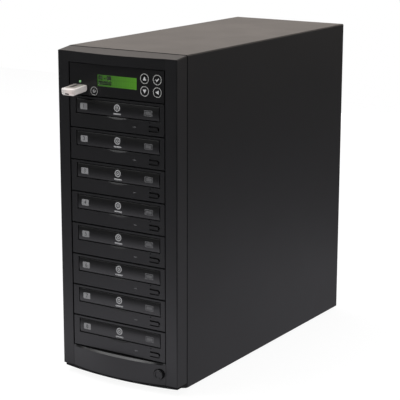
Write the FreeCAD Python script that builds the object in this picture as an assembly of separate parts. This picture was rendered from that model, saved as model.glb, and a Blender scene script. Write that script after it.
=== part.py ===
import FreeCAD, Part
import math
import os

from FreeCAD import Vector

# Tower duplicator: a controller bay over a stack of tray-loading disc drives, in a steel case with a moulded
# front. Millimetres. The front faces -Y, +X is to the right seen from the front, +Z is up, and the origin is
# on the floor under the middle of the case.

# Clearances
moving_gap = 0.3           # between a piece that moves and what guides it
seat_gap = 0.2             # between fixed pieces that slip together
running_gap = 0.05         # radial, pin in its bearing
nothing = 1e-6             # lengths below this count as zero

# Disc tray, which sets the width of a drive
disc_recess = 121.5        # diameter of the seat of a 120 mm disc
disc_recess_depth = 1.8
small_recess = 81.5        # diameter of the seat of an 80 mm disc
small_recess_depth = 1.2
tray_rim = 2.75            # tray left beside the disc seat
tray_front_margin = 5.0    # door to disc seat
tray_back_margin = 33.5    # disc seat to the tray's back edge
tray_thickness = 7.0
tray_below_door_top = 3.6
spindle_slot_width = 36.0
spindle_slot_back = 14.0   # tray left behind the spindle slot
tray_corner = 6.0

# Tray door
door_overhang = 0.5        # door beyond the tray on each side
door_shift = 1.2           # door and tray right of the panel's middle
door_height = 17.9
door_thickness = 4.0
door_crown = 1.1           # bulge of the door's face
door_edge = 0.5            # rounding of the face's upper and lower edges
door_gap = 1.1             # all round the door in its window
door_setback = 0.8         # door's upper and lower edges behind the panel's face
door_below_top = 3.85      # top edge of the drive's front to the door

# Front panel of a drive, and of the controller
panel_side_margin = 9.2    # door to the panel's side edge, were it in the middle
bay_pitch = 42.3
panel_gap = 1.5            # between one panel and the next
panel_side_gap = 1.35      # panel to bezel pillar
panel_wall = 2.2
panel_rim_wall = 1.8
panel_depth = 8.0
panel_chamfer = 0.4
scoop_width = 33.0         # fingertip scoop under the door
scoop_drop = 2.4
scoop_depth = 1.0          # at the door's edge, from nothing at the scoop's rim
control_row = 9.2          # centre line of eject button and light above the bay's lower line
eject_width = 13.7
eject_height = 4.0
eject_from_side = 9.4      # panel's right edge to the eject button
eject_proud = 0.8
eject_length = 6.0
moat_width = 1.9           # sunk margin round the eject button
moat_depth = 1.8
pinhole_radius = 0.8       # emergency eject hole
pinhole_below_door = 2.8
pinhole_from_eject = 0.9   # right of the eject button's left end
light_width = 5.0
light_height = 1.8
light_length = 4.0
light_from_eject = 20.0    # right edge of the light to the eject button

# Drive housing
housing_wall = 0.8
housing_inset = 0.4        # housing inside the panel's outline, each side
housing_back_room = 10.0   # free space behind the closed tray
runner_reach = 3.5         # runner under the tray's edge
runner_thickness = 2.0
runner_lip = 3.5           # height of the runner's side lip
runner_lip_wall = 2.2

# Stack and case
drive_count = 8
top_band_height = 13.9     # bezel's front edge above the controller bay
crown_rise = 3.5           # cover's top above that edge
crown_step = 0.5           # bezel's top below the cover's at the seam
lower_fascia_height = 29.2
bezel_lift = 7.0           # pillars' lower ends above the cover's lower edge
foot_height = 5.0
pillar_width = 17.35
bezel_setback = 0.1        # bezel side inside the cover's side
case_depth = 446.0         # pillar face to the cover's back edge
sheet = 1.0                # steel of the cover, pan, cage and back
cover_bend = 1.8           # outside radius of the cover's folded edges
cover_lip = 12.0           # folded lip at the cover's back edge

# Front bezel
bezel_band = 24.0          # pillar face to the cover's front edge
bezel_wall = 2.5
top_bulge = 4.0            # top band forward of the pillars
bezel_edge_radius = 1.5    # outer vertical edges
pillar_return = 10.0       # depth of the walls round the bay opening
seam_gap = 1.5             # shadow gap between bezel and cover
tongue_wall = 1.7          # tongue of the bezel inside the cover
tongue_reach = 6.0
tongue_root = 4.0
panel_setback = 0.2        # drive faces behind the pillar faces
plinth_height = 4.1        # sunk foot of the bezel below the pillars and the fascia
plinth_setback = 3.2
plinth_inset = 1.9

# Lower fascia and power button
fascia_gap = 0.4
fascia_depth = 14.0
fascia_wall = 2.5
fascia_bulge = 10.0        # forward of the pillars at the lower edge
crest_bulge = 7.5          # at the ledge's front edge, as the fascia leans back
fascia_drop = 0.2          # fascia's top edge below the last bay
ledge_height = 2.4         # sloping top of the fascia
ledge_shoulder = 0.2       # top edge to the ledge's bend
shoulder_bulge = 4.3       # at that bend
ledge_bulge = 0.3          # at the top edge
power_radius = 6.7
power_rim_radius = 7.8     # sunk rim round the button
power_rim_depth = 1.6
power_from_side = 9.4      # bay opening's right side to the button's centre
power_above_bottom = 14.0
power_proud = 2.2
power_boss_wall = 1.2
power_travel = 2.0
power_stem = 5.0           # side of the square stem
power_cap_length = 7.5
switch_depth = 9.0

# Controller bay
display_width = 61.2       # visible area of the display
display_height = 14.8
display_shift = 1.0        # display's centre right of the middle
controls_rise = 0.5        # display and keys above the bay's middle
display_border = 0.8       # window's edge behind the panel
window_thickness = 1.2
display_frame = 2.2        # metal frame round the glass
display_depth = 6.0
key_radius = 6.5
key_gap = 5.95             # display to the first key column
key_pitch_x = 19.1
key_pitch_z = 15.7
key_proud = 0.6
key_cap = 1.9              # thickness of a key's cap
key_travel = 0.8
key_stem = 4.0             # side of a key's square stem
key_stem_end = 6.0         # stem end behind the panel's face
mode_key_radius = 5.5
mode_key_beside = 4.35     # display's left edge to the mode key's centre
mode_key_above_bottom = 7.4
keypad_board_depth = 13.0  # panel face to the keypad board
board_thickness = 1.6
board_margin = 2.5         # board inside the panel's outline
post_side = 4.0
post_inset = 6.0
tact_size = 6.0
status_radius = 1.5
status_above_port = 8.1
status_beside_port = 1.2   # left of the socket's centre
standoff_side = 5.0
standoff_height = 5.0
controller_depth = 150.0
controller_board_depth = 120.0
chip_size = 24.0
chip_height = 2.0
socket_width = 16.5        # drive cable sockets along the board's back edge
socket_depth = 7.0
socket_height = 6.0
socket_pitch = 15.0

# USB socket and stick
plug_width = 12.0
plug_height = 4.5
plug_length = 11.0
plug_wall = 0.4
port_wall = 0.4
tongue_thickness = 1.4
tongue_length = 8.0
port_from_side = 18.15     # panel's left edge to the socket's centre
port_above_bottom = 9.9
stick_width = 21.5
stick_height = 9.6
stick_length = 29.2
stick_sole = 4.2           # rounding of the lower long edges
stick_brow = 1.5           # rounding of the upper long edges
stick_nose = 0.9
stick_sag = 3.5            # degrees, body below its plug's line
stick_standoff = 0.8       # stick's shoulder to the panel's face

# Cage and base
cage_length = 185.0
cage_top_gap = 4.0         # stack to the cage's top plate
cage_flange = 12.0
cage_window_height = 24.0
cage_window_margin = 25.0
pan_flange = 12.0
foot_radius = 10.0
foot_from_side = 24.0
foot_from_front = 70.0
foot_from_back = 45.0

# Back panel, power supply and mains inlet
back_flange = 10.0
supply_width = 150.0
supply_height = 86.0
supply_depth = 140.0
supply_border = 10.0       # back panel round the supply's window
vent_count = 8
vent_width = 3.4
vent_pitch = 7.2
vent_height = 52.0
vent_from_side = 18.0
inlet_width = 27.0
inlet_height = 19.8
inlet_flange = 2.0
inlet_flange_thickness = 2.0
inlet_depth = 19.0
inlet_wall = 1.4
inlet_corner = 5.0         # cut corners of the socket's key shape
inlet_from_side = 36.0
contact_width = 2.0
contact_height = 4.0
contact_length = 10.5
contact_pitch = 14.0
earth_rise = 3.0
rocker_width = 11.0
rocker_radius = 8.7
rocker_front = 5.0         # pivot to the valley of the rocker's face
rocker_back = 4.5
rocker_tilt = 9.0          # degrees, at rest
rocker_pin_radius = 1.5
rocker_pin_length = 0.9
rocker_pivot_depth = 3.2   # pivot behind the frame's outer face
switch_frame_wall = 1.6
switch_frame_flange = 1.8
switch_frame_depth = 14.0
switch_from_inlet = 30.0

# Case fan
fan_size = 80.0
fan_depth = 25.0
fan_bore_radius = 38.0
fan_hole_pitch = 71.5
fan_corner = 4.0
fan_below_top = 84.0
motor_radius = 15.0
motor_thickness = 3.0
spoke_width = 4.0
spoke_count = 3
shaft_radius = 1.5
hub_radius = 16.0
hub_length = 17.0
blade_count = 7
blade_thickness = 1.4
blade_chord = 24.0
blade_pitch_angle = 42.0   # degrees
blade_tip_gap = 1.0
guard_ring_width = 1.6
guard_ring_pitch = 17.0
guard_ring_count = 2
guard_bar_width = 3.0
guard_thickness = 1.6
guard_ear = 3.5            # bar's end beyond the fan's screw

# Places worked out from the sizes above
tray_width = disc_recess + 2 * tray_rim
tray_length = tray_front_margin + disc_recess + tray_back_margin
door_width = tray_width + 2 * door_overhang
panel_width = door_width + 2 * panel_side_margin
panel_height = bay_pitch - panel_gap
panel_half = panel_width / 2
bay_half = panel_half + panel_side_gap
case_half = bay_half + pillar_width + bezel_setback
bezel_half = case_half - bezel_setback
housing_half = panel_half - housing_inset

front_y = -case_depth / 2
back_y = case_depth / 2
seam_y = front_y + bezel_band
bezel_back_y = seam_y - seam_gap
face_y = front_y + panel_setback
rim_y = face_y + panel_depth
door_y = face_y + door_setback
back_panel_y = back_y - 2 * sheet   # inner face of the back panel

bezel_bottom = foot_height + bezel_lift
stack_bottom = bezel_bottom + lower_fascia_height
fascia_top = stack_bottom - fascia_drop
fascia_crest = fascia_top - ledge_height
stack_top = stack_bottom + (drive_count + 1) * bay_pitch
band_top = stack_top + top_band_height
case_top = band_top + crown_rise
pan_top = foot_height + sheet
pan_flange_top = pan_top + pan_flange

# A bay's own heights, from its upper line down
panel_top = -panel_gap / 2
panel_bottom = panel_top - panel_height
bay_middle = -bay_pitch / 2
row_z = control_row - bay_pitch
door_top = panel_top - door_below_top
door_bottom = door_top - door_height
door_left = door_shift - door_width / 2
door_right = door_shift + door_width / 2
tray_top = door_top - tray_below_door_top
tray_bottom = tray_top - tray_thickness
eject_right = panel_half - eject_from_side
eject_left = eject_right - eject_width
light_right = eject_left - light_from_eject
pinhole_x = eject_left + pinhole_from_eject
port_x = -panel_half + port_from_side
port_z = port_above_bottom - bay_pitch
status_x = port_x - status_beside_port
status_z = port_z + status_above_port
display_left = display_shift - display_width / 2
display_right = display_shift + display_width / 2
key_columns = [display_right + key_gap + key_radius + key_pitch_x * column for column in range(2)]
controls_z = bay_middle + controls_rise
key_rows = [controls_z + key_pitch_z * (0.5 - row) for row in range(2)]
mode_key_x = display_left - mode_key_beside
mode_key_z = mode_key_above_bottom - bay_pitch
keypad_y = face_y + keypad_board_depth

fan_z = case_top - fan_below_top
inlet_x = supply_width / 2 - inlet_from_side
inlet_z = pan_top + supply_height / 2
rocker_x = inlet_x - switch_from_inlet
rocker_y = back_panel_y + switch_frame_flange - rocker_pivot_depth

along_x = Vector(1, 0, 0)
along_y = Vector(0, 1, 0)
along_z = Vector(0, 0, 1)


# Shape helpers

def box(x0, x1, y0, y1, z0, z1):
    return Part.makeBox(x1 - x0, y1 - y0, z1 - z0, Vector(x0, y0, z0))


def rod(x, z, radius, y0, y1):
    return Part.makeCylinder(radius, y1 - y0, Vector(x, y0, z), along_y)


def bar(x, z, side, y0, y1):
    # square bar along Y
    half = side / 2
    return box(x - half, x + half, y0, y1, z - half, z + half)


def fuse(first, *others):
    return first.multiFuse(list(others)).removeSplitter()


def prism(points, direction):
    return Part.Face(Part.makePolygon(points + points[:1])).extrude(direction)


def edges_at_y(shape, y):
    # edges that lie in one plane across Y
    return [edge for edge in shape.Edges if abs(edge.BoundBox.YMin - y) + abs(edge.BoundBox.YMax - y) < nothing]


def edges_along_y(shape):
    return [edge for edge in shape.Edges if edge.BoundBox.XLength + edge.BoundBox.ZLength < nothing]


def rounded_plate(x0, x1, y0, y1, z0, z1, radius):
    plate = box(x0, x1, y0, y1, z0, z1)
    return plate.makeFillet(radius, edges_along_y(plate))


def arch(half_width, bottom, top, radius, y0, y1):
    # upright block with rounded shoulders
    block = box(-half_width, half_width, y0, y1, bottom, top)
    shoulders = [edge for edge in edges_along_y(block) if edge.BoundBox.ZMin > (bottom + top) / 2]
    return block.makeFillet(radius, shoulders)


def bulged_outline(half_width, arc_half, front, back, bulge, z):
    # level outline whose front swells forward in an arc between two flat margins
    corners = [Vector(half_width, front, z), Vector(half_width, back, z)]
    if half_width > arc_half:
        corners.insert(0, Vector(arc_half, front, z))
    corners += [Vector(-corner.x, corner.y, z) for corner in reversed(corners)]
    sides = [Part.LineSegment(a, b).toShape() for a, b in zip(corners, corners[1:])]
    swell = Part.Arc(corners[-1], Vector(0, front - bulge, z), corners[0]).toShape()
    return Part.Wire([swell] + sides)


def bulged_block(half_width, arc_half, front, back, bulge, z0, z1):
    outline = bulged_outline(half_width, arc_half, front, back, bulge, z0)
    return Part.Face(outline).extrude(along_z * (z1 - z0))


def at_bay(shape, bay):
    # bay 0 is the controller, bays 1 and up are the drives
    return shape.translated(Vector(0, 0, stack_top - bay * bay_pitch))


# Drives

def panel_shell():
    # moulded front with a rim, open at the back
    shell = box(-panel_half, panel_half, face_y, rim_y, panel_bottom, panel_top)
    shell = shell.makeChamfer(panel_chamfer, edges_at_y(shell, face_y))
    inside = panel_half - panel_rim_wall
    pocket = box(-inside, inside, face_y + panel_wall, rim_y,
                 panel_bottom + panel_rim_wall, panel_top - panel_rim_wall)
    return shell.cut(pocket)


def eject_outline(grow, y0, y1):
    # bar with a round right end, grown on the top, right and bottom
    half = eject_height / 2 + grow
    left = eject_left - min(grow, moving_gap)
    end_x = eject_right + grow - half
    return fuse(box(left, end_x, y0, y1, row_z - half, row_z + half), rod(end_x, row_z, half, y0, y1))


def drive_front():
    front = panel_shell()
    window = box(door_left - door_gap, door_right + door_gap, face_y, rim_y,
                 door_bottom - door_gap, door_top + door_gap)
    scoop_radius = (scoop_width ** 2 / 4 + scoop_drop ** 2) / (2 * scoop_drop)
    scoop_z = door_bottom - door_gap - scoop_drop + scoop_radius
    scoop = Part.makeCone(scoop_radius, scoop_radius - scoop_drop, scoop_depth,
                          Vector(door_shift, face_y, scoop_z), along_y)
    scoop = scoop.common(box(door_left, door_right, face_y, rim_y, panel_bottom, door_bottom))
    moat = eject_outline(moat_width, face_y, face_y + moat_depth)
    eject_hole = eject_outline(moving_gap, face_y, rim_y)
    light_slot = box(light_right - light_width, light_right, face_y, rim_y,
                     row_z - light_height / 2, row_z + light_height / 2)
    pinhole = rod(pinhole_x, door_bottom - pinhole_below_door, pinhole_radius, face_y, rim_y)
    return front.cut([window, scoop, moat, eject_hole, light_slot, pinhole])


def drive_light():
    half = light_height / 2 - seat_gap
    return box(light_right - light_width + seat_gap, light_right - seat_gap, face_y, face_y + light_length,
               row_z - half, row_z + half)


def eject_button():
    return eject_outline(0, face_y - eject_proud, face_y - eject_proud + eject_length)


def tray_door():
    # plate with a face crowned from top to bottom
    back = door_y + door_thickness
    top = Vector(door_left, door_y, door_top)
    bottom = Vector(door_left, door_y, door_bottom)
    crown = Vector(door_left, door_y - door_crown, (door_top + door_bottom) / 2)
    back_bottom = Vector(door_left, back, door_bottom)
    back_top = Vector(door_left, back, door_top)
    outline = [Part.Arc(top, crown, bottom).toShape(),
               Part.LineSegment(bottom, back_bottom).toShape(),
               Part.LineSegment(back_bottom, back_top).toShape(),
               Part.LineSegment(back_top, top).toShape()]
    door = Part.Face(Part.Wire(outline)).extrude(along_x * door_width)
    return door.makeFillet(door_edge, edges_at_y(door, door_y))


def disc_tray():
    # carrier with stepped seats for large and small discs and a slot over the spindle
    half = tray_width / 2
    y0 = door_y + door_thickness
    y1 = y0 + tray_length
    centre = Vector(0, y0 + tray_front_margin + disc_recess / 2, tray_bottom)
    carrier = box(-half, half, y0, y1, tray_bottom, tray_top)
    corners = [edge for edge in edges_at_y(carrier, y1) if edge.BoundBox.ZLength > edge.BoundBox.XLength]
    carrier = carrier.makeChamfer(tray_corner, corners)
    large_floor = tray_top - disc_recess_depth
    small_floor = large_floor - small_recess_depth
    large = Part.makeCylinder(disc_recess / 2, disc_recess_depth, Vector(0, centre.y, large_floor))
    small = Part.makeCylinder(small_recess / 2, small_recess_depth, Vector(0, centre.y, small_floor))
    half_slot = spindle_slot_width / 2
    nose_y = centre.y - half_slot
    end_y = y1 - spindle_slot_back
    outline = [(-half_slot / 2, nose_y), (half_slot / 2, nose_y), (half_slot, centre.y), (half_slot, end_y),
               (-half_slot, end_y), (-half_slot, centre.y)]
    slot = prism([Vector(x, y, tray_bottom) for x, y in outline], along_z * tray_thickness)
    return carrier.cut([large, small, slot]).translated(along_x * door_shift)


def drive_housing():
    # sheet-metal shell with a runner for each edge of the tray
    top = panel_top - seat_gap
    bottom = panel_bottom + seat_gap
    end = door_y + door_thickness + tray_length + housing_back_room
    wall = housing_wall
    shell = box(-housing_half, housing_half, rim_y, end + wall, bottom, top)
    shell = shell.cut(box(-housing_half + wall, housing_half - wall, rim_y, end, bottom + wall, top - wall))
    inner = housing_half - wall
    lip_x = tray_width / 2 + moving_gap
    ledge_top = tray_bottom - moving_gap
    runners = []
    for side in (-1, 1):
        ledge = sorted([door_shift + side * (tray_width / 2 - runner_reach), side * inner])
        lip = sorted([door_shift + side * lip_x, door_shift + side * (lip_x + runner_lip_wall)])
        runners.append(box(*ledge, rim_y, end, ledge_top - runner_thickness, ledge_top))
        runners.append(box(*lip, rim_y, end, ledge_top, ledge_top + runner_lip))
    return fuse(shell, *runners)


# Controller bay

def key_places():
    places = {"up_key": (key_columns[0], key_rows[0]), "enter_key": (key_columns[1], key_rows[0])}
    places.update({"down_key": (key_columns[0], key_rows[1]), "back_key": (key_columns[1], key_rows[1])})
    places["mode_key"] = (mode_key_x, mode_key_z)
    return places


def key_radius_of(name):
    return mode_key_radius if name == "mode_key" else key_radius


def key(name):
    # round cap with a stem towards its switch
    x, z = key_places()[name]
    cap_back = face_y - key_proud + key_cap
    cap = rod(x, z, key_radius_of(name), face_y - key_proud, cap_back)
    return fuse(cap, bar(x, z, key_stem, cap_back, face_y + key_stem_end))


def post_places():
    x = panel_half - post_inset
    z = panel_height / 2 - post_inset
    return [(side * x, bay_middle + level * z) for side in (-1, 1) for level in (-1, 1)]


def port_half():
    # inner half width and half height of the socket
    return plug_width / 2 + moving_gap, plug_height / 2 + moving_gap


def around_display(margin, y0, y1):
    # block over the display's visible area and a margin round it
    half_z = display_height / 2 + margin
    return box(display_left - margin, display_right + margin, y0, y1, controls_z - half_z, controls_z + half_z)


def controller_panel():
    panel = panel_shell()
    posts = [bar(x, z, post_side, face_y + panel_wall, keypad_y) for x, z in post_places()]
    panel = fuse(panel, *posts)
    cuts = [around_display(0, face_y, rim_y)]
    cuts.append(around_display(display_border + seat_gap, face_y + panel_wall - window_thickness, rim_y))
    for name, (x, z) in key_places().items():
        cuts.append(rod(x, z, key_radius_of(name) + moving_gap, face_y, face_y + panel_wall))
    cuts.append(rod(status_x, status_z, status_radius, face_y, rim_y))
    port_x_half, port_z_half = [half + port_wall + seat_gap for half in port_half()]
    cuts.append(box(port_x - port_x_half, port_x + port_x_half, face_y, rim_y,
                    port_z - port_z_half, port_z + port_z_half))
    return panel.cut(cuts)


def display_window():
    back = face_y + panel_wall
    return around_display(display_border, back - window_thickness, back)


def display_module():
    # glass in a metal frame, against the window
    front = face_y + panel_wall
    return around_display(display_frame, front, front + display_depth)


def keypad_board():
    # board on the panel's posts, with a switch behind each key
    half = panel_half - board_margin
    top = panel_top - board_margin
    bottom = panel_bottom + board_margin
    board = box(-half, half, keypad_y, keypad_y + board_thickness, bottom, top)
    tact_front = face_y + key_stem_end + key_travel + moving_gap
    tacts = [bar(x, z, tact_size, tact_front, keypad_y) for x, z in key_places().values()]
    return fuse(board, *tacts)


def status_light():
    # round lens with its lead block on the keypad board
    return rod(status_x, status_z, status_radius - running_gap, face_y - status_radius / 2, keypad_y)


def usb_port():
    # metal shell with a contact tongue in its upper half
    half_x, half_z = port_half()
    y0 = face_y
    floor = keypad_y - port_wall
    shell = box(port_x - half_x - port_wall, port_x + half_x + port_wall, y0, keypad_y,
                port_z - half_z - port_wall, port_z + half_z + port_wall)
    shell = shell.cut(box(port_x - half_x, port_x + half_x, y0, floor, port_z - half_z, port_z + half_z))
    tongue_half = plug_width / 2 - plug_wall - moving_gap
    tongue_top = port_z + plug_height / 2 - plug_wall - moving_gap
    tongue = box(port_x - tongue_half, port_x + tongue_half, floor - tongue_length, floor,
                 tongue_top - tongue_thickness, tongue_top)
    return fuse(shell, tongue)


def usb_plug():
    # metal tube over an insulating block, slotted for the socket's tongue
    y0 = face_y - stick_standoff
    y1 = y0 + plug_length
    half_x = plug_width / 2
    half_z = plug_height / 2
    plug = box(port_x - half_x, port_x + half_x, y0, y1, port_z - half_z, port_z + half_z)
    slot_half = half_x - plug_wall
    slot_top = port_z + half_z - plug_wall
    slot_depth = y1 - (keypad_y - port_wall - tongue_length) + moving_gap
    slot = box(port_x - slot_half, port_x + slot_half, y1 - slot_depth, y1,
               slot_top - tongue_thickness - 2 * moving_gap, slot_top)
    return plug.cut(slot)


def usb_stick():
    # moulded body with rounded long edges and a softened nose, which hangs a little from its plug
    root_y = face_y - stick_standoff
    nose_y = root_y - stick_length
    half_x = stick_width / 2
    half_z = stick_height / 2
    body = box(port_x - half_x, port_x + half_x, nose_y, root_y + half_z, port_z - half_z, port_z + half_z)
    soles = [edge for edge in edges_along_y(body) if edge.BoundBox.ZMax < port_z]
    body = body.makeFillet(stick_sole, soles)
    brows = [edge for edge in edges_along_y(body) if edge.BoundBox.ZMax > port_z + half_z - nothing]
    body = body.makeFillet(stick_brow, brows)
    body = body.makeChamfer(stick_nose, edges_at_y(body, nose_y))
    body.rotate(Vector(port_x, root_y, port_z), along_x, stick_sag)
    behind = box(port_x - half_x, port_x + half_x, root_y, root_y + stick_height,
                 port_z - stick_height, port_z + stick_height)
    return body.cut(behind)


def controller_tray():
    # open-topped sheet tray behind the controller panel
    bottom = panel_bottom + seat_gap
    top = panel_top - seat_gap
    end = rim_y + controller_depth
    wall = housing_wall
    tray = box(-housing_half, housing_half, rim_y, end, bottom, top)
    tray = tray.cut(box(-housing_half + wall, housing_half - wall, rim_y, end - wall, bottom + wall, top))
    floor = bottom + wall
    half = housing_half - wall - board_margin - standoff_side
    y0, y1 = controller_board_ends()
    reach = standoff_side / 2
    spots = [(side * half, y) for side in (-1, 1) for y in (y0 + standoff_side, y1 - standoff_side)]
    standoffs = [box(x - reach, x + reach, y - reach, y + reach, floor, floor + standoff_height) for x, y in spots]
    return fuse(tray, *standoffs)


def controller_board_ends():
    end = rim_y + controller_depth - housing_wall - board_margin
    return end - controller_board_depth, end


def controller_board():
    # main board with its processor and a row of drive cable sockets
    y0, y1 = controller_board_ends()
    half = housing_half - housing_wall - board_margin
    floor = panel_bottom + seat_gap + housing_wall + standoff_height
    top = floor + board_thickness
    board = box(-half, half, y0, y1, floor, top)
    middle = (y0 + y1) / 2
    reach = chip_size / 2
    chip = box(-reach, reach, middle - reach, middle + reach, top, top + chip_height)
    sockets = []
    for index in range(drive_count + 1):
        x = socket_pitch * (index - drive_count / 2)
        sockets.append(box(x - socket_height / 2, x + socket_height / 2, y1 - socket_width, y1,
                           top, top + socket_depth))
    return fuse(board, chip, *sockets)


# Case front

def front_bezel():
    top = bulged_block(bezel_half, bay_half, front_y, bezel_back_y, top_bulge, stack_top, case_top)
    left = box(-bezel_half, -bay_half, front_y, bezel_back_y, foot_height, stack_top)
    right = box(bay_half, bezel_half, front_y, bezel_back_y, foot_height, stack_top)
    ramp = box(-bezel_half, bezel_half, front_y + pillar_return, bezel_back_y, foot_height, bezel_bottom)
    frame = fuse(top, left, right, ramp).cut(above_crown())
    outer = [edge for edge in frame.Edges if abs(edge.BoundBox.Center.x) > bezel_half - nothing]
    upright = [edge for edge in outer if edge.BoundBox.YMax < front_y + nothing]
    shoulders = [edge for edge in outer if edge.BoundBox.YLength > nothing and edge.BoundBox.ZMin > stack_top]
    frame = frame.makeFillet(bezel_edge_radius, upright + shoulders)
    return fuse(frame.cut(bezel_hollows()), bezel_tongue(), plinth())


def above_crown():
    # what is taken off so that the bezel's top slopes up from its front edge to the cover
    back_top = case_top - crown_step
    rise = (back_top - band_top) / (bezel_back_y - front_y)
    tip_y = front_y - top_bulge
    slope = [Vector(-case_half, tip_y, band_top - top_bulge * rise), Vector(-case_half, bezel_back_y, back_top),
             Vector(-case_half, bezel_back_y, case_top), Vector(-case_half, tip_y, case_top)]
    return prism(slope, along_x * (2 * case_half))


def plinth():
    # sunk foot that follows the fascia's bulge
    half = bezel_half - plinth_inset
    return bulged_block(half, half, front_y + plinth_setback, front_y + fascia_depth, fascia_bulge,
                        bezel_bottom - plinth_height, bezel_bottom - fascia_gap)


def bezel_hollows():
    wall = bezel_wall
    inner = bezel_half - wall
    back = bezel_back_y
    crown_floor = stack_top + wall
    crown = bulged_block(inner, bay_half, front_y + wall, back, top_bulge, crown_floor, band_top - wall)
    behind_returns = box(-inner, inner, front_y + pillar_return, back, bezel_bottom, band_top - wall)
    hollows = [crown, behind_returns]
    for side in (-1, 1):
        across = sorted([side * (bay_half + wall), side * inner])
        hollows.append(box(*across, front_y + wall, back, bezel_bottom + wall, crown_floor))
    # underside slopes up from the cover's edge to the front
    slope = [Vector(-case_half, front_y, 0), Vector(-case_half, bezel_back_y, 0),
             Vector(-case_half, bezel_back_y, foot_height), Vector(-case_half, front_y, bezel_bottom)]
    hollows.append(prism(slope, along_x * (2 * case_half)))
    return hollows


def bezel_tongue():
    # tongue that slips inside the cover's front edge
    outer = case_half - sheet - moving_gap
    top = case_top - sheet - moving_gap
    bottom = pan_flange_top + sheet
    radius = cover_bend - sheet - moving_gap
    y0 = bezel_back_y - tongue_root
    y1 = seam_y + tongue_reach
    ring = arch(outer, bottom, top, radius, y0, y1)
    inner = arch(outer - tongue_wall, bottom, top - tongue_wall, radius / 2, y0, y1)
    return ring.cut(inner)


def power_place():
    return bay_half - power_from_side, bezel_bottom + power_above_bottom


def fascia_bulge_at(z):
    # less from the lower edge up to the crest
    share = (z - bezel_bottom) / (fascia_crest - bezel_bottom)
    return fascia_bulge + (crest_bulge - fascia_bulge) * share


def fascia_face_y():
    # the fascia's front at the power button
    x, z = power_place()
    half = bay_half - fascia_gap
    bulge = fascia_bulge_at(z)
    radius = (half ** 2 + bulge ** 2) / (2 * bulge)
    return front_y + radius - bulge - math.sqrt(radius ** 2 - x ** 2)


def bulged_loft(half, front, back, levels):
    # block whose front swells more or less from one level to the next
    return Part.makeLoft([bulged_outline(half, half, front, back, bulge, z) for z, bulge in levels], True, True)


def lower_fascia():
    # bulged hollow panel that leans back to a ledge, with a boss round the power button
    half = bay_half - fascia_gap
    back = front_y + fascia_depth
    levels = [(bezel_bottom, fascia_bulge), (fascia_crest, crest_bulge),
              (fascia_top - ledge_shoulder, shoulder_bulge), (fascia_top, ledge_bulge)]
    shell = bulged_loft(half, front_y, back, levels)
    wall = fascia_wall
    ends = [bezel_bottom + wall, fascia_crest - wall]
    hollow = bulged_loft(half - wall, front_y + wall, back, [(z, fascia_bulge_at(z)) for z in ends])
    x, z = power_place()
    bore = power_radius + moving_gap
    face = fascia_face_y()
    boss = rod(x, z, bore + power_boss_wall, face + wall / 2, back)
    shell = fuse(shell.cut(hollow), boss)
    clear = front_y - fascia_bulge
    rim = rod(x, z, power_rim_radius, clear, face + power_rim_depth)
    return shell.cut([rod(x, z, bore, clear, back), rim])


def power_button():
    x, z = power_place()
    y0 = fascia_face_y() - power_proud
    cap = rod(x, z, power_radius, y0, y0 + power_cap_length)
    stem_end = front_y + fascia_depth - power_travel - moving_gap
    return fuse(cap, bar(x, z, power_stem, y0 + power_cap_length, stem_end))


def power_switch():
    # switch body on the end of the fascia's boss
    x, z = power_place()
    y0 = front_y + fascia_depth
    reach = power_radius + moving_gap + power_boss_wall
    return box(x - reach, x + reach, y0, y0 + switch_depth, z - reach, z + reach)


# Case body

def cover():
    # folded sheet: two sides, a top and lips at the back
    outer = arch(case_half, foot_height, case_top, cover_bend, seam_y, back_y)
    inner_half = case_half - sheet
    inner = arch(inner_half, foot_height, case_top - sheet, cover_bend - sheet, seam_y, back_y - sheet)
    window_half = inner_half - cover_lip
    window = box(-window_half, window_half, seam_y, back_y, foot_height, case_top - sheet - cover_lip)
    return outer.cut([inner, window])


def base_pan():
    half = case_half - sheet - seat_gap
    pan = box(-half, half, seam_y, back_y - sheet, foot_height, pan_flange_top)
    inside = half - sheet
    return pan.cut(box(-inside, inside, seam_y, back_y - sheet, pan_top, pan_flange_top))


def drive_cage():
    # folded sheet over the stack, with feet flanges on the pan and a window beside each bay
    inner = housing_half + moving_gap
    outer = inner + sheet
    y0 = front_y + pillar_return + moving_gap
    y1 = y0 + cage_length
    top = stack_top + cage_top_gap
    step_y = seam_y + tongue_reach + sheet
    cage = box(-outer, outer, y0, y1, pan_top, top + sheet)
    cage = cage.cut(box(-inner, inner, y0, y1, pan_top, top))
    cage = cage.cut(box(-outer, outer, y0, step_y, pan_top, stack_bottom))
    cuts = []
    for bay in range(drive_count + 1):
        middle = stack_top + bay_middle - bay * bay_pitch
        cuts.append(box(-outer, outer, y0 + cage_window_margin, y1 - cage_window_margin,
                        middle - cage_window_height / 2, middle + cage_window_height / 2))
    cage = cage.cut(cuts)
    flanges = [box(-outer - cage_flange, -outer, step_y, y1, pan_top, pan_top + sheet),
               box(outer, outer + cage_flange, step_y, y1, pan_top, pan_top + sheet)]
    return fuse(cage, *flanges)


def foot_places():
    x = case_half - foot_from_side
    return [(side * x, y) for side in (-1, 1) for y in (front_y + foot_from_front, back_y - foot_from_back)]


def feet():
    pads = [Part.makeCylinder(foot_radius, foot_height, Vector(x, y, 0)) for x, y in foot_places()]
    return Part.makeCompound(pads)


# Back of the case

def back_panel():
    half = case_half - sheet - seat_gap - sheet
    top = case_top - sheet - seat_gap
    y0 = back_panel_y
    y1 = y0 + sheet
    plate = arch(half, pan_top, top, cover_bend - sheet, y0, y1)
    flanges = [box(-half, -half + sheet, y0 - back_flange, y0, pan_flange_top, top - cover_bend),
               box(half - sheet, half, y0 - back_flange, y0, pan_flange_top, top - cover_bend)]
    plate = fuse(plate, *flanges)
    window_half = supply_width / 2 - supply_border
    window_top = pan_top + supply_height - supply_border
    window = box(-window_half, window_half, y0, y1, pan_top + supply_border, window_top)
    return plate.cut([window, rod(0, fan_z, fan_bore_radius, y0, y1)])


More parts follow.
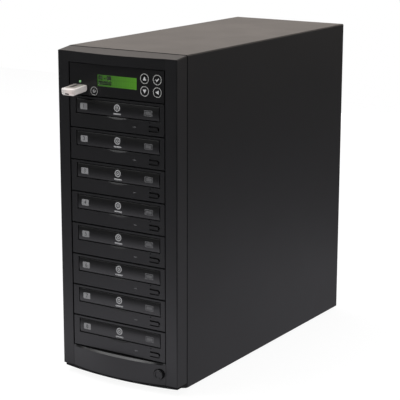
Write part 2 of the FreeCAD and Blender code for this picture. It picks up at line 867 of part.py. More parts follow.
def supply_case():
    # hollow sheet box with vents, the inlet's and the switch's cut-outs in its back wall
    half = supply_width / 2
    y1 = back_panel_y
    y0 = y1 - supply_depth
    top = pan_top + supply_height
    case = box(-half, half, y0, y1, pan_top, top)
    case = case.cut(box(-half + sheet, half - sheet, y0 + sheet, y1 - sheet, pan_top + sheet, top - sheet))
    cuts = []
    for index in range(vent_count):
        x = -half + vent_from_side + vent_pitch * index
        cuts.append(box(x, x + vent_width, y1 - sheet, y1, inlet_z - vent_height / 2, inlet_z + vent_height / 2))
    fit = seat_gap
    cuts.append(box(inlet_x - inlet_width / 2 - fit, inlet_x + inlet_width / 2 + fit, y1 - sheet, y1,
                    inlet_z - inlet_height / 2 - fit, inlet_z + inlet_height / 2 + fit))
    half_x, half_z = switch_body_half()
    cuts.append(box(rocker_x - half_x - fit, rocker_x + half_x + fit, y1 - sheet, y1,
                    inlet_z - half_z - fit, inlet_z + half_z + fit))
    return case.cut(cuts)


def mains_inlet():
    # flanged three-contact inlet with a keyed mouth
    half_x = inlet_width / 2
    half_z = inlet_height / 2
    face = back_panel_y + inlet_flange_thickness
    rim = inlet_flange
    flange = box(inlet_x - half_x - rim, inlet_x + half_x + rim, back_panel_y, face,
                 inlet_z - half_z - rim, inlet_z + half_z + rim)
    body = box(inlet_x - half_x, inlet_x + half_x, face - inlet_depth, back_panel_y,
               inlet_z - half_z, inlet_z + half_z)
    mouth_x = half_x - inlet_wall
    mouth_z = half_z - inlet_wall
    floor = face - inlet_depth + inlet_wall
    cut_x = mouth_x - inlet_corner
    cut_z = mouth_z - inlet_corner
    outline = [(-mouth_x, -mouth_z), (mouth_x, -mouth_z), (mouth_x, cut_z),
               (cut_x, mouth_z), (-cut_x, mouth_z), (-mouth_x, cut_z)]
    mouth = prism([Vector(inlet_x + x, floor, inlet_z + z) for x, z in outline], along_y * inlet_depth)
    inlet = fuse(flange, body).cut(mouth)
    spots = [(-contact_pitch / 2, 0), (contact_pitch / 2, 0), (0, earth_rise)]
    contacts = []
    for dx, dz in spots:
        x = inlet_x + dx
        z = inlet_z + dz
        contacts.append(box(x - contact_width / 2, x + contact_width / 2, floor, floor + contact_length,
                            z - contact_height / 2, z + contact_height / 2))
    return fuse(inlet, *contacts)


def switch_opening_half():
    return rocker_width / 2 + moving_gap, rocker_radius + moving_gap


def switch_body_half():
    half_x, half_z = switch_opening_half()
    return half_x + switch_frame_wall, half_z + switch_frame_wall


def switch_frame():
    # flanged frame with a bearing hole for each of the rocker's pins
    open_x, open_z = switch_opening_half()
    half_x, half_z = switch_body_half()
    face = back_panel_y + switch_frame_flange
    rim = switch_frame_flange
    flange = box(rocker_x - half_x - rim, rocker_x + half_x + rim, back_panel_y, face,
                 inlet_z - half_z - rim, inlet_z + half_z + rim)
    body = box(rocker_x - half_x, rocker_x + half_x, face - switch_frame_depth, back_panel_y,
               inlet_z - half_z, inlet_z + half_z)
    opening = box(rocker_x - open_x, rocker_x + open_x, face - switch_frame_depth + switch_frame_wall, face,
                  inlet_z - open_z, inlet_z + open_z)
    reach = rocker_width / 2 + rocker_pin_length + running_gap
    bearing = Part.makeCylinder(rocker_pin_radius + running_gap, 2 * reach,
                                Vector(rocker_x - reach, rocker_y, inlet_z), along_x)
    return fuse(flange, body).cut([opening, bearing])


def mains_switch():
    # rocker: a drum cut by a shallow valley in front and a flat behind, on two stub pins
    half = rocker_width / 2
    drum = Part.makeCylinder(rocker_radius, rocker_width, Vector(rocker_x - half, rocker_y, inlet_z), along_x)
    rise = rocker_radius * math.tan(math.radians(rocker_tilt))
    x = rocker_x - half
    outline = [Vector(x, rocker_y - rocker_back, inlet_z - rocker_radius),
               Vector(x, rocker_y - rocker_back, inlet_z + rocker_radius),
               Vector(x, rocker_y + rocker_front + rise, inlet_z + rocker_radius),
               Vector(x, rocker_y + rocker_front, inlet_z),
               Vector(x, rocker_y + rocker_front + rise, inlet_z - rocker_radius)]
    rocker = drum.common(prism(outline, along_x * rocker_width))
    reach = half + rocker_pin_length
    pins = Part.makeCylinder(rocker_pin_radius, 2 * reach, Vector(rocker_x - reach, rocker_y, inlet_z), along_x)
    rocker = fuse(rocker, pins)
    rocker.rotate(Vector(rocker_x, rocker_y, inlet_z), along_x, rocker_tilt)
    return rocker


def fan_frame():
    # square frame with the motor plate on spokes at its inner end and the shaft on the plate
    half = fan_size / 2
    y1 = back_panel_y
    y0 = y1 - fan_depth
    frame = rounded_plate(-half, half, y0, y1, fan_z - half, fan_z + half, fan_corner)
    frame = frame.cut(rod(0, fan_z, fan_bore_radius, y0, y1))
    plate_y = y0 + motor_thickness
    extras = [rod(0, fan_z, motor_radius, y0, plate_y), rod(0, fan_z, shaft_radius, plate_y, plate_y + hub_length)]
    spoke_length = (fan_bore_radius + half) / 2
    for index in range(spoke_count):
        spoke = box(-spoke_width / 2, spoke_width / 2, y0, plate_y, fan_z, fan_z + spoke_length)
        spoke.rotate(Vector(0, 0, fan_z), along_y, 360 * index / spoke_count)
        extras.append(spoke)
    return fuse(frame, *extras)


def fan_rotor():
    # hub on the shaft with pitched blades
    y0 = back_panel_y - fan_depth + motor_thickness + moving_gap
    y1 = y0 + hub_length
    tip = fan_bore_radius - blade_tip_gap
    hub = rod(0, fan_z, hub_radius, y0, y1)
    reach = rod(0, fan_z, tip, y0, y1).cut(rod(0, fan_z, hub_radius - blade_thickness, y0, y1))
    middle = (y0 + y1) / 2
    blades = []
    for index in range(blade_count):
        blade = box(-blade_thickness / 2, blade_thickness / 2, middle - blade_chord / 2, middle + blade_chord / 2,
                    fan_z, fan_z + fan_bore_radius)
        blade.rotate(Vector(0, middle, fan_z), along_z, blade_pitch_angle)
        blade.rotate(Vector(0, middle, fan_z), along_y, 360 * index / blade_count)
        blades.append(blade.common(reach))
    return fuse(hub, *blades).cut(rod(0, fan_z, shaft_radius + running_gap, y0, y1))


def fan_guard():
    # stamped guard: rings on two crossing bars that reach the fan's screws
    y0 = back_panel_y + sheet
    y1 = y0 + guard_thickness
    rings = []
    for index in range(guard_ring_count):
        outer = guard_ring_pitch * (index + 1)
        rings.append(rod(0, fan_z, outer, y0, y1).cut(rod(0, fan_z, outer - guard_ring_width, y0, y1)))
    diagonal = fan_hole_pitch / math.sqrt(2) + guard_ear
    bars = []
    for angle in (45, 135):
        strip = box(-diagonal, diagonal, y0, y1, fan_z - guard_bar_width / 2, fan_z + guard_bar_width / 2)
        strip.rotate(Vector(0, 0, fan_z), along_y, angle)
        bars.append(strip)
    return fuse(rings[0], *rings[1:], *bars)


# Assembly

def repeated(shape):
    # one copy in each drive bay
    return Part.makeCompound([at_bay(shape, bay) for bay in range(1, drive_count + 1)])


def nodes():
    model = {
        "front_bezel": front_bezel(),
        "lower_fascia": lower_fascia(),
        "power_button": power_button(),
        "power_switch": power_switch(),
        "cover": cover(),
        "base_pan": base_pan(),
        "drive_cage": drive_cage(),
        "feet": feet(),
        "back_panel": back_panel(),
        "supply_case": supply_case(),
        "mains_inlet": mains_inlet(),
        "switch_frame": switch_frame(),
        "mains_switch": mains_switch(),
        "fan_frame": fan_frame(),
        "fan_rotor": fan_rotor(),
        "fan_guard": fan_guard(),
        "controller_panel": at_bay(controller_panel(), 0),
        "display_window": at_bay(display_window(), 0),
        "display_module": at_bay(display_module(), 0),
        "keypad_board": at_bay(keypad_board(), 0),
        "status_light": at_bay(status_light(), 0),
        "usb_port": at_bay(usb_port(), 0),
        "usb_plug": at_bay(usb_plug(), 0),
        "usb_stick": at_bay(usb_stick(), 0),
        "controller_tray": at_bay(controller_tray(), 0),
        "controller_board": at_bay(controller_board(), 0),
        "drive_fronts": repeated(drive_front()),
        "drive_housings": repeated(drive_housing()),
        "drive_lights": repeated(drive_light()),
    }
    for name in key_places():
        model[name] = at_bay(key(name), 0)
    tray = disc_tray()
    door = tray_door()
    eject = eject_button()
    for bay in range(1, drive_count + 1):
        model[f"tray_{bay}"] = at_bay(tray, bay)
        model[f"tray_door_{bay}"] = at_bay(door, bay)
        model[f"eject_button_{bay}"] = at_bay(eject, bay)
    return model


os.makedirs("parts", exist_ok=True)
for node_name, node_shape in nodes().items():
    node_shape.exportStep(f"parts/{node_name}.step")
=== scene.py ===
import math

import bmesh
import bpy
from mathutils import Matrix, Vector


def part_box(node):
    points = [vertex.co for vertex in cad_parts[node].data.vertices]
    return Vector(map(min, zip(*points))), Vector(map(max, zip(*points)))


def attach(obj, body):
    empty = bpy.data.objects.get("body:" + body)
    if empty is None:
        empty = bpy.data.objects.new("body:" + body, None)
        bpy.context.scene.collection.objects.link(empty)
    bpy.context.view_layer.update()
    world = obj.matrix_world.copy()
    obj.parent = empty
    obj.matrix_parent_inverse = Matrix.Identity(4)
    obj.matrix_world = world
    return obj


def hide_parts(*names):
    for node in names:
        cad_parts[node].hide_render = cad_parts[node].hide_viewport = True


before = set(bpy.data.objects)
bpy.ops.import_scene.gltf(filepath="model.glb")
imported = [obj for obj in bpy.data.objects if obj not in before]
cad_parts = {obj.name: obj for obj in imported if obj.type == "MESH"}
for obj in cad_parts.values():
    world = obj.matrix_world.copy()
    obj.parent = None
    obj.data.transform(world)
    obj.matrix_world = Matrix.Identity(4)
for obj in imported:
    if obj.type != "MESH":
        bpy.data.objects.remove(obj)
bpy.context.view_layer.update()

# Sizes of the object are in millimetres and are turned to metres where they are used
MM = 0.001
DRIVES = range(1, 9)
KEYS = ["up_key", "enter_key", "down_key", "back_key", "mode_key"]
FOOT_LINE = 11.8           # top of the sunk foot of the front

# Surfaces
ABS_IOR = 1.54
DEFAULT_IOR = 1.5          # kept by metals, and about that of powder coat
GRAIN_BUMP = 0.6           # strength of a grain's relief
GRAIN_HOLLOW_PAINTED_SHADE = 0.88         # painted shade: colour in the hollows of a grain, as a share
DRIFT_SIZE = 70.0          # the gloss drifts over about a hand's breadth
DRIFT = 0.05               # roughness that the drift adds and takes away
TOP_RISE = (0.3, 0.5)      # upward part of a normal where a top begins to be matt, and where it is
LENS_HAZE_SIZE = 2.0       # a lit lens is uneven over this size
LENS_HAZE = 0.2            # share of its light that this adds and takes away
ACRYLIC_HAZE_SIZE = 15.0
ACRYLIC_HAZE = 0.04        # roughness at the most
MIX_FIRST = 6              # inputs of a node that mixes two colours
MIX_SECOND = 7
MIX_RESULT = 2             # and its output

# Printing
INK = 0.06                 # height over the surface
INK_ROOT = 0.05            # depth below the surface
CIRCLE_POINTS = 40
LARGE_CIRCLE_POINTS = 64   # on keys and the power button
CORNER_STEPS = 6           # straight steps round a corner
EDGE_STEPS = 3             # straight steps in each quarter round of a swollen edge

# Printing on a tray door, from the door's middle
DOOR_CROWN = 1.1           # bulge of the door's face
CROWN_STRIPS = 12          # the door's height is cut into these, so that a print follows the bulge
BADGE_X = -52.4
BADGE_Z = -0.1
BADGE_WIDTH = 11.2
BADGE_HEIGHT = 8.2
BADGE_CORNER = 1.2
DIGIT_SIZE = 7.4
TILE_X = 47.9
TILE_Z = -0.15
TILE_WIDTH = 12.4
TILE_HEIGHT = 7.6
TILE_CORNER = 0.9
TILE_FRAME = 1.0           # width of the tile's frame
TILE_LINE = 0.7            # bare line inside the frame
DISC_Z = 2.2               # a plain disc over a plain bar
DISC_RINGS = (9.4, 6.4, 4.2, 1.8)   # diameters: rim, its inside, hub, hub's hole
BAR_Z = -5.5
BAR_WIDTH = 12.0
BAR_HEIGHT = 2.0
BAR_CORNER = 0.9

# Printing on the keys
KEY_RING = 0.95            # width of the ring on a key's rim
MODE_RING = 0.6
SYMBOL_SIZE = 5.6
MODE_SYMBOL_SIZE = 3.8
ARROW_FOOT = 0.8           # below the middle, as a share of half the size
TICK_STROKE = 0.17         # width, as a share of the size
TICK_TOP = 0.8             # above the middle, as a share of half the size
TICK_NOTCH = 2.2           # inner corner above the foot, in widths of the stroke
RING_SWEEP = 1.5 * math.pi   # of a round arrow's ring
RING_STEPS = 18
RING_BORE = 0.68           # inner radius of that ring, as a share of its outer radius
HEAD_LENGTH = 0.75         # of a round arrow's head, as a share of the same
HEAD_SIDE = 0.45           # half the head's width, as a share of the same

# Power button
RIM_WIDTH = 2.4            # raised rim of its face
RIM_ROUNDING = 0.8         # also its height

# Display
DISPLAY_LINES = ("01 - 08", "00:00:0")
LINE_PITCH = 6.6
CELL_WIDTH = 3.55          # of one character's cell
CELL_GAP = 0.25
CHARACTER_HEIGHT = 6.8
CHARACTER_MARGIN = 3.4
CHARACTER_BOLD = 0.4       # stroke grown on each side

# USB stick
STICK_WIDTH = 21.0
STICK_LENGTH = 29.2
STICK_TOP = 4.6            # above the plug's middle
STICK_BOTTOM = -4.4
STICK_CORNER = 4.5         # rounding of the tip's upright edges
STICK_ROOT_CORNER = 0.8    # rounding of the root's upright edges
STICK_SOLE = 3.6           # rounding of the lower edges
STICK_BROW = 1.5           # rounding of the upper edges
STICK_SAG = 5.2            # degrees
TIP_PAINTED_GLOW = 0.08            # painted amber glow that lights up the tip, with no lamp behind it
TIP_PAINTED_GLOW_REACH = 10.0
TIP_PAINTED_GLOW_SHIFT = 4.0       # right of the stick's middle line
LABEL_WIDTH = 16.0         # bare grey label on the stick's top
LABEL_LENGTH = 21.0
LABEL_FROM_ROOT = 2.0
LABEL_SHIFT = -0.6         # from the stick's middle line
LABEL_CORNER = 2.5
STRIP_WIDTH = 5.0          # dark strip on the label
STRIP_LENGTH = 15.5
STRIP_FROM_ROOT = 3.0
STRIP_SHIFT = -2.0
STRIP_CORNER = 1.0
LOOP_SLOT_WIDTH = 6.0      # cord slot in the stick's tip, drawn as a black plate of painted shade
LOOP_SLOT_HEIGHT = 1.6
LOOP_SLOT_CORNER = 0.72
LOOP_SLOT_DROP = 1.8       # below the plug's middle

# Back of the case
GUARD_RINGS = 5
GUARD_RING_PITCH = 6.8
GUARD_RING_POINTS = 56
GUARD_WIRE = 0.8           # wire radius
GUARD_WIRE_SIDES = 10
GUARD_EYE = 2.6            # radius of the loop at the end of a bar
FAN_HOLE_PITCH = 71.5
SCREW_RADIUS = 3.1
SCREW_HEIGHT = 1.9
SCREW_CROWN = 0.72         # top of the head, as a share of its radius
SCREW_SIDES = 28
SLOT_WIDTH = 0.9           # arms of the cross recess
SLOT_LENGTH = 3.6
SLOT_DEPTH = 1.2
COVER_SCREW_EDGE = 6.5     # from the cover's side
COVER_SCREW_LEVELS = (40, 220, 400)   # above the floor
SUPPLY_SCREW_EDGE = 6.0    # from the edges of the supply's case

# Studio, in metres; a pair is where a change begins and ends, and a level of 1 is white
DARK_SIDE = (0.84, -0.54, 0)        # direction of the dark side of the room
ROOM_TURN = (0.3, 0.95)             # how far a ray points to the dark side
ROOM_LEVELS = (0.125, 0.03)         # room, and its dark side
BACKDROP_TURN = (0.1, 0.7)          # how far a mirrored ray points back: the backdrop comes in
BACKDROP_FOOT = (-0.05, 0.15)       # how far it rises: the backdrop comes in
BACKDROP_HEAD = (0.26, 0.5)         # how far it rises: the backdrop dims
BACKDROP_HEAD_LEVEL = 0.3
POOL_PLACE = (0.02, -0.22, 0)       # pool of light on the floor that mirrored rays see
POOL_RADIUS = 0.295                 # of its plain white part
POOL_SIDE = (0.22, 0.62)            # stretch towards the dark side over which it dims
POOL_SIDE_LEVEL = 0.1
POOL_BACK = (-0.3, -0.2)            # stretch towards the back over which it dims
POOL_BACK_LEVEL = 0.43
FLOOR_GLOW = 1.08
FLOOR_GLOW_SHARE = 0.85             # the rest of the floor is lit by the lamps, and keeps the shadow
FLOOR_SIDES = (-2.2, 1.6)
FLOOR_ENDS = (-2.2, 2.0)
SOFTBOXES = {
    "overhead softbox": {"place": (-0.7, -0.1, 2.6), "aim": (0, 0, 0.2), "size": 2.5, "power": 75},
    "left softbox": {"place": (-1.5, -1.9, 1.9), "aim": (0, 0, 0.25), "size": 1.2, "power": 15.5},
    "right softbox": {"place": (2.2, -0.3, 1.2), "aim": (0, 0, 0.3), "size": 1.2, "power": 17},
    "back softbox": {"place": (-0.75, 1.8, 0.22), "aim": (0, 0.2, 0.2), "size": 0.42, "power": 7},
}

# Camera, in metres and degrees, fitted to the edges of the case in the photograph
CAMERA_PLACE = (1.0416, -1.6613, 0.6684)
CAMERA_TURN = 32.485
CAMERA_RISE = 13.305
CAMERA_ROLL = 0.148
CAMERA_NEAREST = 0.01      # what is nearer is not drawn
LENS_LENGTH = 127.9        # mm
SENSOR_WIDTH = 36.0        # mm


# Helpers

def srgb(code):
    # hex colour to linear values
    parts = [int(code[start:start + 2], 16) / 255 for start in (1, 3, 5)]
    linear = [part / 12.92 if part <= 0.04045 else ((part + 0.055) / 1.055) ** 2.4 for part in parts]
    return (*linear, 1.0)


def add(tree, kind, links=None, **settings):
    # one node with its settings; each entry of links is a value, another node's output or a list of outputs
    made = tree.nodes.new(kind)
    for name, value in settings.items():
        setattr(made, name, value)
    for socket, value in (links or {}).items():
        sources = value if isinstance(value, list) else [value]
        for source in sources:
            if isinstance(source, bpy.types.NodeSocket):
                tree.links.new(source, made.inputs[socket])
            else:
                made.inputs[socket].default_value = source
    return made


def settled(data, tree=None, inputs=None):
    # the evaluated shape of some data as a plain mesh, after a node tree with its inputs where one is given
    maker = bpy.data.objects.new("maker", data)
    bpy.context.scene.collection.objects.link(maker)
    if tree:
        modifier = maker.modifiers.new("tree", "NODES")
        modifier.node_group = tree
        for item in tree.interface.items_tree:
            if item.in_out == "INPUT" and item.name in inputs:
                modifier[item.identifier] = inputs[item.name]
    bpy.context.view_layer.update()
    mesh = bpy.data.meshes.new_from_object(maker.evaluated_get(bpy.context.evaluated_depsgraph_get()))
    bpy.data.objects.remove(maker)
    return mesh


def piece(name, mesh, finish, body):
    # a finished mesh as a named piece that rides on one body
    mesh.materials.clear()
    mesh.materials.append(finish)
    made = bpy.data.objects.new(name, mesh)
    bpy.context.scene.collection.objects.link(made)
    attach(made, body)
    return made


def dress(finish, *names):
    # gives CAD nodes their material
    for name in names:
        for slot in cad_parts[name].material_slots:
            slot.material = finish


def middle(node):
    low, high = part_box(node)
    return (low + high) / 2


def front_middle(node):
    # middle of the side that a node turns to the front
    place = middle(node)
    place.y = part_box(node)[0].y
    return place


def breadth(node):
    # from left to right, in millimetres
    low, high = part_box(node)
    return (high.x - low.x) / MM


# Materials

def surface(name):
    made = bpy.data.materials.new(name)
    made.use_nodes = True
    tree = made.node_tree
    return made, tree, tree.nodes["Principled BSDF"]


def grained(name, colour, roughness, grain, relief, metallic=0.0, ior=ABS_IOR, rough_below=None,
            matt_tops=False):
    # moulded, coated or plated surface: grain is the size of one grain and relief its height, in mm, and the
    # gloss drifts a little. The mould may be left rough below a given height, or where the surface faces up
    made, tree, shader = surface(name)
    coordinates = add(tree, "ShaderNodeTexCoord").outputs
    place = coordinates["Object"]
    grains = add(tree, "ShaderNodeTexNoise", {"Vector": place, "Scale": 1 / (grain * MM), "Detail": 2.0})
    bump = add(tree, "ShaderNodeBump",
               {"Height": grains.outputs[0], "Distance": relief * MM, "Strength": GRAIN_BUMP})
    drift = add(tree, "ShaderNodeTexNoise", {"Vector": place, "Scale": 1 / (DRIFT_SIZE * MM), "Detail": 3.0})
    gloss = add(tree, "ShaderNodeMapRange",
                {"Value": drift.outputs[0], "To Min": roughness - DRIFT, "To Max": roughness + DRIFT})
    if rough_below:
        height = add(tree, "ShaderNodeSeparateXYZ", {0: place})
        foot = add(tree, "ShaderNodeMath", {0: height.outputs["Z"], 1: rough_below * MM},
                   operation="LESS_THAN")
        gloss = add(tree, "ShaderNodeMath", {0: gloss.outputs[0], 1: foot.outputs[0]}, operation="MAXIMUM")
    if matt_tops:
        facing = add(tree, "ShaderNodeSeparateXYZ", {0: coordinates["Normal"]})
        upward = add(tree, "ShaderNodeMapRange",
                     {"Value": facing.outputs["Z"], "From Min": TOP_RISE[0], "From Max": TOP_RISE[1]})
        gloss = add(tree, "ShaderNodeMath", {0: gloss.outputs[0], 1: upward.outputs[0]}, operation="MAXIMUM")
    # the hollows of the grain are darkened with painted shade
    dark = tuple(GRAIN_HOLLOW_PAINTED_SHADE * part for part in srgb(colour)[:3]) + (1.0,)
    hollow_shaded_colour = add(tree, "ShaderNodeMix",
               {0: grains.outputs[0], MIX_FIRST: dark, MIX_SECOND: srgb(colour)}, data_type="RGBA")
    tree.links.new(hollow_shaded_colour.outputs[MIX_RESULT], shader.inputs["Base Color"])
    tree.links.new(gloss.outputs[0], shader.inputs["Roughness"])
    tree.links.new(bump.outputs[0], shader.inputs["Normal"])
    shader.inputs["Metallic"].default_value = metallic
    shader.inputs["IOR"].default_value = ior
    return made


def lit_polycarbonate(name, colour, strength):
    # its own light over a smooth moulded surface, a little uneven because the lamp sits close behind it
    made, tree, shader = surface(name)
    place = add(tree, "ShaderNodeTexCoord").outputs["Object"]
    haze = add(tree, "ShaderNodeTexNoise", {"Vector": place, "Scale": 1 / (LENS_HAZE_SIZE * MM)})
    level = add(tree, "ShaderNodeMapRange",
                {"Value": haze.outputs[0], "To Min": (1 - LENS_HAZE) * strength,
                 "To Max": (1 + LENS_HAZE) * strength})
    shader.inputs["Base Color"].default_value = srgb(colour)
    shader.inputs["Roughness"].default_value = 0.25
    shader.inputs["Emission Color"].default_value = srgb(colour)
    tree.links.new(level.outputs[0], shader.inputs["Emission Strength"])
    return made


def stick_plastic():
    # glossy white ABS with a painted amber glow on the tip; no lamp is behind it
    made = grained("white ABS, glossy", "#f0eae7", roughness=0.25, grain=0.6, relief=0.008)
    tree = made.node_tree
    # middle of the painted glow; no lamp is at this place
    lamp = front_middle("usb_stick")
    lamp.x = middle("usb_plug").x + TIP_PAINTED_GLOW_SHIFT * MM
    place = add(tree, "ShaderNodeTexCoord").outputs["Object"]
    away = add(tree, "ShaderNodeVectorMath", {0: place, 1: lamp}, operation="DISTANCE")
    level = add(tree, "ShaderNodeMapRange",
                {"Value": away.outputs["Value"], "From Max": TIP_PAINTED_GLOW_REACH * MM, "To Min": TIP_PAINTED_GLOW,
                 "To Max": 0.0})
    shader = tree.nodes["Principled BSDF"]
    shader.inputs["Emission Color"].default_value = srgb("#ff9a58")
    tree.links.new(level.outputs[0], shader.inputs["Emission Strength"])
    return made


def backlit_display():
    # liquid crystal over a side-lit green sheet: brighter towards the lamp's end, with faint character cells
    made, tree, shader = surface("backlit liquid crystal display")
    place = add(tree, "ShaderNodeTexCoord").outputs["Object"]
    upright = add(tree, "ShaderNodeMapping", {"Vector": place, "Rotation": (-math.pi / 2, 0, 0)})
    cells = add(tree, "ShaderNodeTexBrick",
                {"Vector": upright.outputs[0], "Color1": srgb("#ffffff"), "Color2": srgb("#f6f6f6"),
                 "Mortar": srgb("#e2e2e2"), "Scale": 1.0, "Mortar Size": CELL_GAP * MM,
                 "Brick Width": CELL_WIDTH * MM, "Row Height": LINE_PITCH * MM}, offset=0.0)
    across = add(tree, "ShaderNodeSeparateXYZ", {0: place})
    low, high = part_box("display_module")
    ramp = add(tree, "ShaderNodeMapRange",
               {"Value": across.outputs["X"], "From Min": low.x, "From Max": high.x})
    glow = add(tree, "ShaderNodeMix",
               {0: ramp.outputs[0], MIX_FIRST: srgb("#325523"), MIX_SECOND: srgb("#4a8224")},
               data_type="RGBA")
    lit = add(tree, "ShaderNodeMix",
              {0: 1.0, MIX_FIRST: glow.outputs[MIX_RESULT], MIX_SECOND: cells.outputs[0]},
              data_type="RGBA", blend_type="MULTIPLY")
    tree.links.new(lit.outputs[MIX_RESULT], shader.inputs["Emission Color"])
    shader.inputs["Base Color"].default_value = srgb("#101a0c")
    shader.inputs["Emission Strength"].default_value = 1.0
    shader.inputs["Roughness"].default_value = 0.2
    return made


def clear_acrylic():
    # cast sheet, polished: bends light like glass but a little less
    made, tree, shader = surface("clear acrylic")
    place = add(tree, "ShaderNodeTexCoord").outputs["Object"]
    haze = add(tree, "ShaderNodeTexNoise", {"Vector": place, "Scale": 1 / (ACRYLIC_HAZE_SIZE * MM)})
    gloss = add(tree, "ShaderNodeMapRange",
                {"Value": haze.outputs[0], "To Min": 0.0, "To Max": ACRYLIC_HAZE})
    tree.links.new(gloss.outputs[0], shader.inputs["Roughness"])
    shader.inputs["Base Color"].default_value = srgb("#ffffff")
    shader.inputs["Transmission Weight"].default_value = 1.0
    shader.inputs["IOR"].default_value = 1.49
    return made


def printed_ink(name, colour):
    # screen-printed ink: thin, matt and slightly broken up by its mesh
    return grained(name, colour, roughness=0.55, grain=0.35, relief=0.01)


# Moulded ABS with a spark-eroded grain has soft broad highlights. The grain is drawn about twice too coarse,
# so that it shows
black_abs = grained("black ABS, grained", "#111113", roughness=0.38, grain=0.5, relief=0.03)
# The same with upper edges that stay grey from most sides, because they are left matt
front_abs = grained("black ABS, grained, matt upper edges", "#111113", roughness=0.38, grain=0.5,
                    relief=0.03, matt_tops=True)
# Nearly the same, with a foot that mirrors nothing of the floor
bezel_abs = grained("black ABS, grained, rough foot", "#121214", roughness=0.38, grain=0.5,
                    relief=0.03, rough_below=FOOT_LINE)
# Finer moulds give clearer highlights, and polished ones the clearest
panel_abs = grained("black ABS, fine grain", "#0b0b0d", roughness=0.32, grain=0.5, relief=0.015)
door_abs = grained("black ABS, smooth", "#0d0d0e", roughness=0.3, grain=0.5, relief=0.015)
key_abs = grained("black ABS, polished", "#0d0d0f", roughness=0.28, grain=0.6, relief=0.01)
# A satin mould spreads the highlights, so the trays look paler than the doors
tray_abs = grained("black ABS, satin", "#1c1c1e", roughness=0.42, grain=0.5, relief=0.02)
# Nylon is duller than ABS, with a waxy sheen
nylon = grained("black nylon", "#141415", roughness=0.5, grain=0.4, relief=0.03)
# Powder coat is baked from grains, so it keeps an orange-peel ripple about a millimetre across
powder_coat = grained("black powder coat on steel", "#101012", roughness=0.36, grain=1.1, relief=0.03,
                      ior=DEFAULT_IOR)
# Zinc plating on rolled sheet is a grey metal with a clouded gloss, and nickel is warmer and brighter
zinc = grained("zinc-plated steel", "#b4b7bb", roughness=0.36, grain=1.5, relief=0.02, metallic=1.0,
               ior=DEFAULT_IOR)
nickel = grained("nickel-plated steel", "#c9c5bc", roughness=0.22, grain=0.8, relief=0.008, metallic=1.0,
                 ior=DEFAULT_IOR)
# Moulded rubber is nearly without shine
rubber = grained("black rubber", "#161616", roughness=0.75, grain=0.6, relief=0.04, ior=1.52)
# Solder mask lies over copper like a green lacquer, slightly wavy
solder_mask = grained("green solder mask", "#14532b", roughness=0.35, grain=0.9, relief=0.02)
white_abs = stick_plastic()
silver_ink = printed_ink("silver ink", "#b4b4b2")
white_ink = printed_ink("white ink", "#d6d6d7")
pale_ink = printed_ink("pale grey ink", "#acacae")
steel_ink = printed_ink("steel grey ink", "#929294")
grey_ink = printed_ink("dark grey ink", "#606062")
# black ink for the printed digits, and painted shade in the stick's cord slot
black_ink_and_painted_shade = printed_ink("black ink", "#1c1c1e")
# Crystal that is switched on looks like dark ink on the lit sheet
crystal = printed_ink("dark liquid crystal", "#0d1708")
# A polyester label is flat and even, with a satin shine, and the strip on it has a faint grain
label_film = grained("grey polyester film", "#a09a92", roughness=0.4, grain=0.4, relief=0.005)
# a darker strip laid along the label
dark_strip_grey = grained("dark grey ABS, satin", "#2e2928", roughness=0.4, grain=0.5, relief=0.015)
# Smoked polycarbonate looks grey and glassy while its light is off
smoked_lens = grained("smoked polycarbonate", "#5c5c5e", roughness=0.2, grain=0.5, relief=0.005, ior=1.58)
green_lens = lit_polycarbonate("lit green polycarbonate", "#84bc7e", strength=0.36)

dress(black_abs, "power_button")
dress(front_abs, "drive_fronts")
dress(bezel_abs, "front_bezel")
dress(panel_abs, "controller_panel")
dress(door_abs, "lower_fascia", *[f"tray_door_{n}" for n in DRIVES], *[f"eject_button_{n}" for n in DRIVES])
dress(tray_abs, *[f"tray_{n}" for n in DRIVES])
dress(key_abs, *KEYS)
dress(nylon, "mains_inlet", "switch_frame", "mains_switch", "fan_frame", "fan_rotor", "power_switch")
dress(powder_coat, "cover")
dress(zinc, "base_pan", "drive_cage", "back_panel", "drive_housings", "controller_tray", "supply_case")
dress(nickel, "usb_plug", "usb_port", "fan_guard")
dress(rubber, "feet")
dress(solder_mask, "keypad_board", "controller_board")
dress(white_abs, "usb_stick")
dress(smoked_lens, "drive_lights")
dress(green_lens, "status_light")
dress(backlit_display(), "display_module")
dress(clear_acrylic(), "display_window")


# Flat shapes, drawn in millimetres across and up

def circle(diameter, count=CIRCLE_POINTS):
    angles = [2 * math.pi * step / count for step in range(count)]
    return [(diameter / 2 * math.cos(angle), diameter / 2 * math.sin(angle)) for angle in angles]


def rounded(width, height, radius, upper_radius=None):
    # rectangle with round corners; the upper two may have a radius of their own
    upper = radius if upper_radius is None else upper_radius
    corners = [(1, 1, upper), (-1, 1, upper), (-1, -1, radius), (1, -1, radius)]
    points = []
    for corner, (side, level, bend) in enumerate(corners):
        for step in range(CORNER_STEPS + 1):
            angle = math.pi / 2 * (corner + step / CORNER_STEPS)
            points.append((side * (width / 2 - bend) + bend * math.cos(angle),
                           level * (height / 2 - bend) + bend * math.sin(angle)))
    return points


def moved(outline, x, z):
    return [(px + x, pz + z) for px, pz in outline]


def turned(outline, quarter_turns):
    for _ in range(quarter_turns):
        outline = [(-z, x) for x, z in outline]
    return outline


def plate(outlines, rounding=0.0):
    # filled outlines as a thin print; an outline inside another is a hole. Rounding swells it on every side
    curve = bpy.data.curves.new("outline", "CURVE")
    curve.dimensions = "2D"
    curve.fill_mode = "BOTH"
    curve.extrude = (INK + INK_ROOT) / 2
    curve.bevel_depth = rounding
    curve.bevel_resolution = EDGE_STEPS
    for outline in outlines:
        spline = curve.splines.new("POLY")
        spline.points.add(len(outline) - 1)
        for point, (x, z) in zip(spline.points, outline):
            point.co = (x, z, 0, 1)
        spline.use_cyclic_u = True
    return settled(curve)


def lettering(words, size, align="CENTER", bold=0.0):
    text = bpy.data.curves.new("lettering", "FONT")
    text.body = words
    text.size = size
    text.offset = bold
    text.align_x = align
    text.align_y = "CENTER"
    text.extrude = (INK + INK_ROOT) / 2
    return settled(text)


